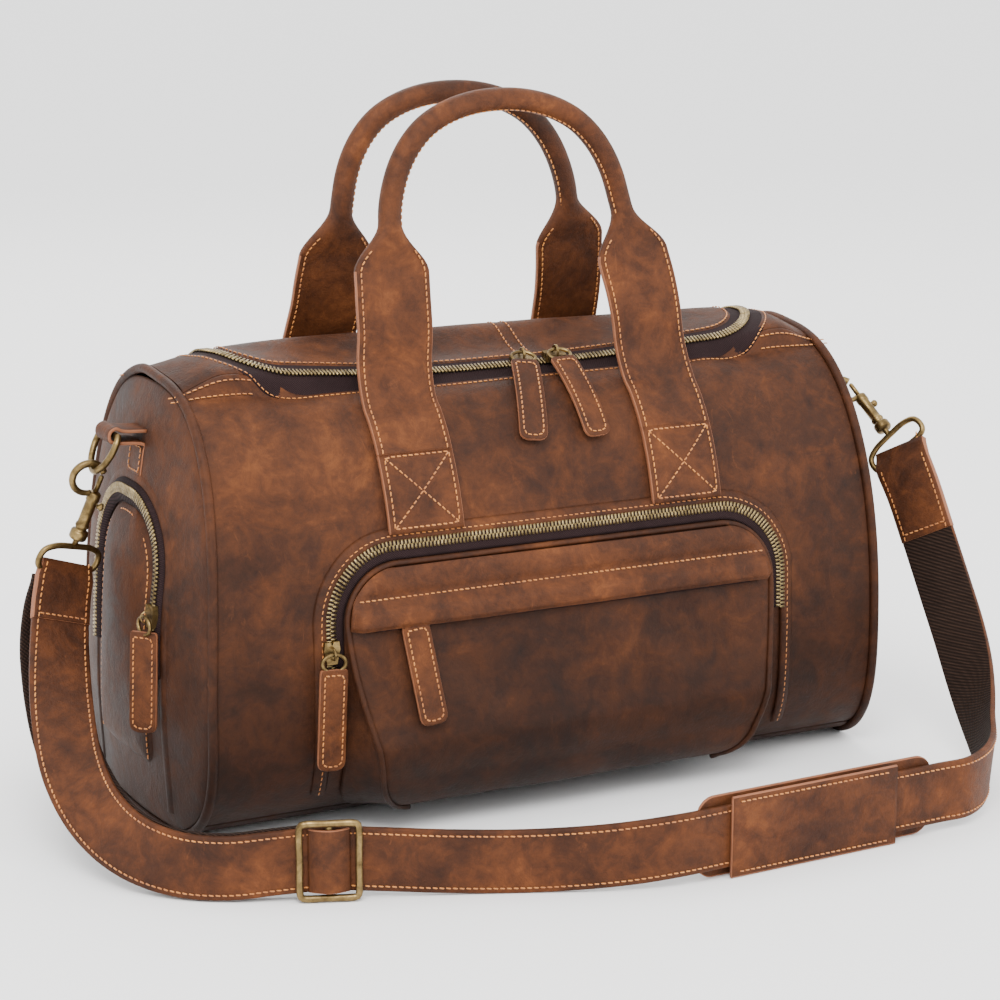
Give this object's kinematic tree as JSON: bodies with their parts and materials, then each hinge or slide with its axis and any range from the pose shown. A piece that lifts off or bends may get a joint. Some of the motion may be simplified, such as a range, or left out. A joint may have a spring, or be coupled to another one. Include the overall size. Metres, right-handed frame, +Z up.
{
  "type": "duffel bag",
  "caption": "Leather duffel bag with a barrel body, lidded top zip, front and end pockets, two carrying handles and a clip-on shoulder strap.",
  "frame": {"origin": "middle of the flat base, on the surface the bag stands on", "axes": "+X along the bag, to the right seen from the front; -Y to the front, where the pouch pocket is; +Z up"},
  "size_m": [0.6218, 0.387, 0.4447],
  "materials": {
    "leather_body": "waxed pull-up leather, mottled mid brown, satin",
    "leather_trim": "waxed pull-up leather, mottled, stitched edges",
    "zip_tape": "dark twill zip tape with antique brass teeth",
    "lining_cloth": "dark brown twill",
    "board": "matte",
    "strap_webbing": "leather-faced dark webbing",
    "antique_brass": "antique, rubbed bright on edges"
  },
  "bodies": {
    "bag": {"front_panel": "leather_body", "back_panel": "leather_body", "base_panel": "leather_body", "top_yoke_left": "leather_body", "top_yoke_right": "leather_body", "piping_left": "leather_trim", "piping_right": "leather_trim", "end_panel_left": "leather_body", "end_panel_right": "leather_body", "lining": "lining_cloth", "base_board": "board", "inner_pocket": "lining_cloth", "main_zip_body": "zip_tape", "pocket_zip": "zip_tape", "end_pocket_left": "leather_body", "end_pocket_right": "leather_body", "end_zip_left": "zip_tape", "end_zip_right": "zip_tape", "ring_tab_left": "leather_trim", "ring_tab_right": "leather_trim", "handle_patch_front_left": "leather_trim", "handle_patch_front_right": "leather_trim", "handle_patch_back_left": "leather_trim", "handle_patch_back_right": "leather_trim", "strap_main": "strap_webbing", "strap_return": "strap_webbing", "strap_adjuster": "antique_brass", "strap_eye_left": "antique_brass", "strap_eye_right": "antique_brass"},
    "lid": {"lid_panel": "leather_body", "main_zip_lid": "zip_tape"},
    "front_pocket": {"pocket_face": "leather_body", "pocket_gusset": "leather_body", "pocket_flap": "leather_trim", "flap_zip": "zip_tape"},
    "main_left_slider": {"main_left_slider": "antique_brass"},
    "main_left_pull": {"main_left_pull": "leather_trim"},
    "main_right_slider": {"main_right_slider": "antique_brass"},
    "main_right_pull": {"main_right_pull": "leather_trim"},
    "pocket_slider": {"pocket_slider": "antique_brass"},
    "pocket_pull": {"pocket_pull": "leather_trim"},
    "flap_slider": {"flap_slider": "antique_brass"},
    "flap_pull": {"flap_pull": "leather_trim"},
    "end_left_slider": {"end_left_slider": "antique_brass"},
    "end_left_pull": {"end_left_pull": "leather_trim"},
    "end_right_slider": {"end_right_slider": "antique_brass"},
    "end_right_pull": {"end_right_pull": "leather_trim"},
    "handle_front": {"handle_front": "leather_trim"},
    "handle_back": {"handle_back": "leather_trim"},
    "d_ring_left": {"d_ring_left": "antique_brass"},
    "d_ring_right": {"d_ring_right": "antique_brass"},
    "hook_left": {"hook_left": "antique_brass"},
    "hook_bolt_left": {"hook_bolt_left": "antique_brass"},
    "hook_right": {"hook_right": "antique_brass"},
    "hook_bolt_right": {"hook_bolt_right": "antique_brass"},
    "shoulder_pad": {"shoulder_pad": "leather_trim"}
  },
  "joints": [
    {"name": "lid_hinge", "type": "hinge", "parent": "bag", "child": "lid", "pos_m": [0, 0.0406, 0.2708], "axis": [-1, 0, 0], "range_deg": [0, 58]},
    {"name": "front_pocket_tilt", "type": "hinge", "parent": "bag", "child": "front_pocket", "pos_m": [0, -0.08904, 0.015], "axis": [1, 0, 0], "range_deg": [0, 14]},
    {"name": "main_left_zip_slide", "type": "slide", "parent": "lid", "child": "main_left_slider", "axis": [-1, 0, 0], "range_m": [0, 0.034]},
    {"name": "main_left_pull_swing", "type": "hinge", "parent": "main_left_slider", "child": "main_left_pull", "pos_m": [0.007, -0.0403, 0.27847], "axis": [-0.9611, 0.2617, 0.0881], "range_deg": [0, 110]},
    {"name": "main_right_zip_slide", "type": "slide", "parent": "lid", "child": "main_right_slider", "axis": [1, 0, 0], "range_m": [0, 0.018]},
    {"name": "main_right_pull_swing", "type": "hinge", "parent": "main_right_slider", "child": "main_right_pull", "pos_m": [0.031, -0.0403, 0.27847], "axis": [-0.999, -0.0418, -0.0141], "range_deg": [0, 110]},
    {"name": "pocket_zip_slide", "type": "slide", "parent": "bag", "child": "pocket_slider", "axis": [0, 0, 1], "range_m": [0, 0.036]},
    {"name": "pocket_pull_swing", "type": "hinge", "parent": "pocket_slider", "child": "pocket_pull", "pos_m": [-0.1593, -0.11807, 0.121], "axis": [-0.9982, 0, 0.0599], "range_deg": [0, 110]},
    {"name": "flap_zip_slide", "type": "slide", "parent": "front_pocket", "child": "flap_slider", "axis": [1, 0, 0], "range_m": [0, 0.2]},
    {"name": "flap_pull_swing", "type": "hinge", "parent": "flap_slider", "child": "flap_pull", "pos_m": [-0.108, -0.11749, 0.14272], "axis": [-0.9952, -0.0097, -0.097], "range_deg": [0, 8]},
    {"name": "end_left_zip_slide", "type": "slide", "parent": "bag", "child": "end_left_slider", "axis": [0, 0, 1], "range_m": [0, 0.03]},
    {"name": "end_left_pull_swing", "type": "hinge", "parent": "end_left_slider", "child": "end_left_pull", "pos_m": [-0.25466, -0.05336, 0.14036], "axis": [-0.1203, 0.9925, -0.0238], "range_deg": [0, 12]},
    {"name": "end_right_zip_slide", "type": "slide", "parent": "bag", "child": "end_right_slider", "axis": [0, 0, 1], "range_m": [0, 0.03]},
    {"name": "end_right_pull_swing", "type": "hinge", "parent": "end_right_slider", "child": "end_right_pull", "pos_m": [0.25466, -0.05336, 0.14036], "axis": [-0.1203, -0.9925, 0.0238], "range_deg": [0, 48]},
    {"name": "handle_front_fold", "type": "hinge", "parent": "bag", "child": "handle_front", "pos_m": [0, -0.08831, 0.23184], "axis": [1, 0, 0], "range_deg": [0, 120]},
    {"name": "handle_back_fold", "type": "hinge", "parent": "bag", "child": "handle_back", "pos_m": [0, 0.08831, 0.23184], "axis": [-1, 0, 0], "range_deg": [0, 120]},
    {"name": "d_ring_left_swing", "type": "hinge", "parent": "bag", "child": "d_ring_left", "pos_m": [-0.254, 0, 0.243], "axis": [0, 1, 0], "range_deg": [0, 2.5]},
    {"name": "d_ring_right_swing", "type": "hinge", "parent": "bag", "child": "d_ring_right", "pos_m": [0.254, 0, 0.243], "axis": [0, -1, 0], "range_deg": [0, 2.5]},
    {"name": "hook_left_swivel", "type": "hinge", "parent": "bag", "child": "hook_left", "pos_m": [-0.26257, 0.00624, 0.20587], "axis": [-0.3092, 0.2494, -0.9177], "range_deg": [-6, 6]},
    {"name": "hook_left_bolt", "type": "slide", "parent": "hook_left", "child": "hook_bolt_left", "axis": [-0.3092, 0.2494, -0.9177], "range_m": [0, 0.007], "stiffness_N_per_m": 120},
    {"name": "hook_right_swivel", "type": "hinge", "parent": "bag", "child": "hook_right", "pos_m": [0.2771, -0.02302, 0.22356], "axis": [0.1198, -0.799, -0.5893], "range_deg": [-6, 6]},
    {"name": "hook_right_bolt", "type": "slide", "parent": "hook_right", "child": "hook_bolt_right", "axis": [0.1198, -0.799, -0.5893], "range_m": [0, 0.007], "stiffness_N_per_m": 120},
    {"name": "shoulder_pad_slide", "type": "slide", "parent": "bag", "child": "shoulder_pad", "axis": [-0.999, -0.044, 0], "range_m": [-0.011, 0.011]}
  ]
}
